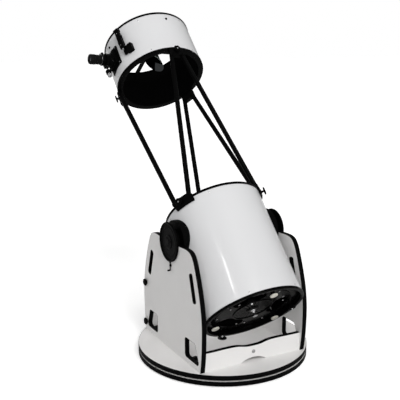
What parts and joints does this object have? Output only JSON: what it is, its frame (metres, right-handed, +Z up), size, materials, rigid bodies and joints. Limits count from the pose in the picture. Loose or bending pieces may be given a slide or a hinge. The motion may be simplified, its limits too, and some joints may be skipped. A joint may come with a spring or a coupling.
{
  "type": "truss-tube dobsonian telescope",
  "caption": "Large truss-tube Newtonian reflector on a low turntable rocker box, swinging in altitude on big round side bearings and turning in azimuth on a roller ring.",
  "frame": {"origin": "on the floor, under the azimuth bolt, where the altitude axis projects down", "axes": "+Z up along the azimuth axis, +X along the altitude axis with the focuser on the -X side, the open end of the tube towards +Y"},
  "size_m": [0.8699, 1.5789, 1.7352],
  "materials": {
    "white_laminate": "satin white melamine laminate on chipboard",
    "black_edging": "satin black plastic edge band",
    "tube_white": "gloss white enamel outside, flat black inside",
    "ring_black": "gloss black enamel",
    "black_metal": "satin black anodised",
    "truss_black": "black anodised tube",
    "black_plastic": "satin black moulding",
    "cream_plastic": "glossy cream moulding",
    "rubber_black": "matt",
    "zinc_steel": "zinc plated",
    "bright_steel": "bright plated",
    "cell_cast": "gloss black enamel on cast aluminium",
    "tray_cast": "black enamel on steel plate",
    "ptfe_white": "natural low friction plastic",
    "mirror_glass": "aluminised glass",
    "spider_black": "flat black"
  },
  "bodies": {
    "ground": {"ground_board": "white_laminate", "ground_board_edging": "black_edging", "ground_feet": "rubber_black", "azimuth_bolt": "zinc_steel", "lower_race": "zinc_steel"},
    "roller_cage": {"azimuth_roller_cage": "zinc_steel"},
    "rocker": {"upper_race": "zinc_steel", "rocker_base": "white_laminate", "rocker_base_edging": "black_edging", "side_board_left": "white_laminate", "side_board_right": "white_laminate", "side_board_edging": "black_edging", "rear_panel": "white_laminate", "front_panel": "white_laminate", "panel_edging": "black_edging", "cradle_liners": "ptfe_white", "assembly_knobs": "black_plastic", "panel_bolt": "zinc_steel"},
    "brake_lever": {"altitude_brake_lever": "black_metal"},
    "optical_tube": {"lower_tube": "tube_white", "lower_tube_rings": "ring_black", "upper_tube": "tube_white", "upper_tube_rings": "ring_black", "truss_poles": "truss_black", "lower_truss_brackets": "black_metal", "upper_truss_brackets": "black_metal", "altitude_bearing_left": "black_plastic", "altitude_bearing_right": "black_plastic", "spider": "spider_black", "secondary_holder": "black_plastic", "secondary_mirror": "mirror_glass", "cell_frame": "cell_cast", "mirror_tray": "tray_cast", "primary_mirror": "mirror_glass", "mirror_clips": "black_metal", "collimation_springs": "bright_steel", "focuser_base": "black_metal", "focuser_body": "black_metal", "finder_shoe": "black_plastic", "finder_body": "black_plastic", "tube_screws": "bright_steel"},
    "drawtube": {"drawtube": "black_metal"},
    "eyepiece": {"eyepiece": "rubber_black"},
    "eyepiece_lock": {"eyepiece_lock_screw": "bright_steel"},
    "coarse_focus": {"coarse_focus_knobs": "black_metal"},
    "fine_focus": {"fine_focus_knob": "bright_steel"},
    "finder_dial": {"finder_dial": "bright_steel"},
    "centre_nut": {"centre_thumb_nut": "bright_steel"},
    "lower_clamp_a": {"lower_clamp_knob_a": "black_plastic"},
    "lower_clamp_b": {"lower_clamp_knob_b": "black_plastic"},
    "lower_clamp_c": {"lower_clamp_knob_c": "black_plastic"},
    "upper_clamp_a": {"upper_clamp_knob_a": "black_plastic"},
    "upper_clamp_b": {"upper_clamp_knob_b": "black_plastic"},
    "upper_clamp_c": {"upper_clamp_knob_c": "black_plastic"},
    "collimation_a": {"collimation_knob_a": "cream_plastic"},
    "collimation_b": {"collimation_knob_b": "cream_plastic"},
    "collimation_c": {"collimation_knob_c": "cream_plastic"},
    "lock_a": {"lock_knob_a": "black_plastic"},
    "lock_b": {"lock_knob_b": "black_plastic"},
    "lock_c": {"lock_knob_c": "black_plastic"}
  },
  "joints": [
    {"name": "azimuth_turn", "type": "hinge", "parent": "ground", "child": "rocker", "pos_m": [0, 0, 0.038], "axis": [0, 0, 1], "continuous": true},
    {"name": "azimuth_cage_turn", "type": "hinge", "parent": "ground", "child": "roller_cage", "pos_m": [0, 0, 0.0345], "axis": [0, 0, 1], "continuous": true},
    {"name": "altitude_tilt", "type": "hinge", "parent": "rocker", "child": "optical_tube", "pos_m": [0, 0, 0.622], "axis": [1, 0, 0], "range_deg": [-45.96, 44]},
    {"name": "brake_lever_swing", "type": "hinge", "parent": "rocker", "child": "brake_lever", "pos_m": [-0.294, -0.008, 0.505], "axis": [1, 0, 0], "range_deg": [-30, 30]},
    {"name": "lower_clamp_turn_a", "type": "hinge", "parent": "optical_tube", "child": "lower_clamp_a", "pos_m": [-0.2324, 0.00479, 0.81074], "axis": [-0.8763, -0.3463, 0.3349], "continuous": true},
    {"name": "lower_clamp_turn_b", "type": "hinge", "parent": "optical_tube", "child": "lower_clamp_b", "pos_m": [0.22684, -0.00213, 0.81742], "axis": [0.8554, -0.3724, 0.3601], "continuous": true},
    {"name": "lower_clamp_turn_c", "type": "hinge", "parent": "optical_tube", "child": "lower_clamp_c", "pos_m": [0.00555, 0.28723, 0.5376], "axis": [0.0209, 0.7187, -0.695], "continuous": true},
    {"name": "upper_clamp_turn_a", "type": "hinge", "parent": "optical_tube", "child": "upper_clamp_a", "pos_m": [-0.22823, 0.79343, 1.25974], "axis": [-0.8738, 0.3496, -0.3381], "continuous": true},
    {"name": "upper_clamp_turn_b", "type": "hinge", "parent": "optical_tube", "child": "upper_clamp_b", "pos_m": [0.0041, 0.51437, 1.5296], "axis": [0.0157, -0.7188, 0.6951], "continuous": true},
    {"name": "upper_clamp_turn_c", "type": "hinge", "parent": "optical_tube", "child": "upper_clamp_c", "pos_m": [0.22413, 0.79854, 1.2548], "axis": [0.8581, 0.3692, -0.357], "continuous": true},
    {"name": "collimation_turn_a", "type": "hinge", "parent": "optical_tube", "child": "collimation_a", "pos_m": [0.01047, -0.43832, 0.45605], "axis": [0, -0.6952, -0.7189], "continuous": true},
    {"name": "collimation_turn_b", "type": "hinge", "parent": "optical_tube", "child": "collimation_b", "pos_m": [0.16773, -0.21644, 0.24148], "axis": [0, -0.6952, -0.7189], "continuous": true},
    {"name": "collimation_turn_c", "type": "hinge", "parent": "optical_tube", "child": "collimation_c", "pos_m": [-0.1782, -0.22948, 0.25409], "axis": [0, -0.6952, -0.7189], "continuous": true},
    {"name": "lock_turn_a", "type": "hinge", "parent": "optical_tube", "child": "lock_a", "pos_m": [0.212, -0.2951, 0.31685], "axis": [0, -0.6952, -0.7189], "continuous": true},
    {"name": "lock_turn_b", "type": "hinge", "parent": "optical_tube", "child": "lock_b", "pos_m": [-0.106, -0.42708, 0.44448], "axis": [0, -0.6952, -0.7189], "continuous": true},
    {"name": "lock_turn_c", "type": "hinge", "parent": "optical_tube", "child": "lock_c", "pos_m": [-0.106, -0.16312, 0.18922], "axis": [0, -0.6952, -0.7189], "continuous": true},
    {"name": "centre_nut_turn", "type": "hinge", "parent": "optical_tube", "child": "centre_nut", "pos_m": [0, -0.29489, 0.31706], "axis": [0, -0.6952, -0.7189], "continuous": true},
    {"name": "drawtube_slide", "type": "slide", "parent": "optical_tube", "child": "drawtube", "axis": [-0.9945, -0.0751, 0.0727], "range_m": [-0.008, 0.03]},
    {"name": "coarse_focus_turn", "type": "hinge", "parent": "optical_tube", "child": "coarse_focus", "pos_m": [-0.29574, 0.80304, 1.45076], "axis": [0, 0.6952, 0.7189], "range_deg": [-432, 118]},
    {"name": "fine_focus_turn", "type": "hinge", "parent": "optical_tube", "child": "fine_focus", "pos_m": [-0.29574, 0.75229, 1.39829], "axis": [0, 0.6952, 0.7189], "range_deg": [-4320, 1180]},
    {"name": "eyepiece_pull", "type": "slide", "parent": "drawtube", "child": "eyepiece", "axis": [-0.9945, -0.0751, 0.0727], "range_m": [0, 0.04]},
    {"name": "eyepiece_lock_turn", "type": "hinge", "parent": "drawtube", "child": "eyepiece_lock", "pos_m": [-0.3272, 0.80321, 1.50206], "axis": [0, 0.6952, 0.7189], "continuous": true},
    {"name": "finder_dial_turn", "type": "hinge", "parent": "optical_tube", "child": "finder_dial", "pos_m": [-0.23814, 0.68368, 1.53809], "axis": [0, -0.6952, -0.7189], "range_deg": [0, 270]}
  ],
  "couplings": [
    {"joint": "azimuth_cage_turn", "follows": "azimuth_turn", "ratio": 0.5},
    {"joint": "coarse_focus_turn", "follows": "drawtube_slide", "rad_per_m": -250},
    {"joint": "fine_focus_turn", "follows": "drawtube_slide", "rad_per_m": -2500}
  ]
}
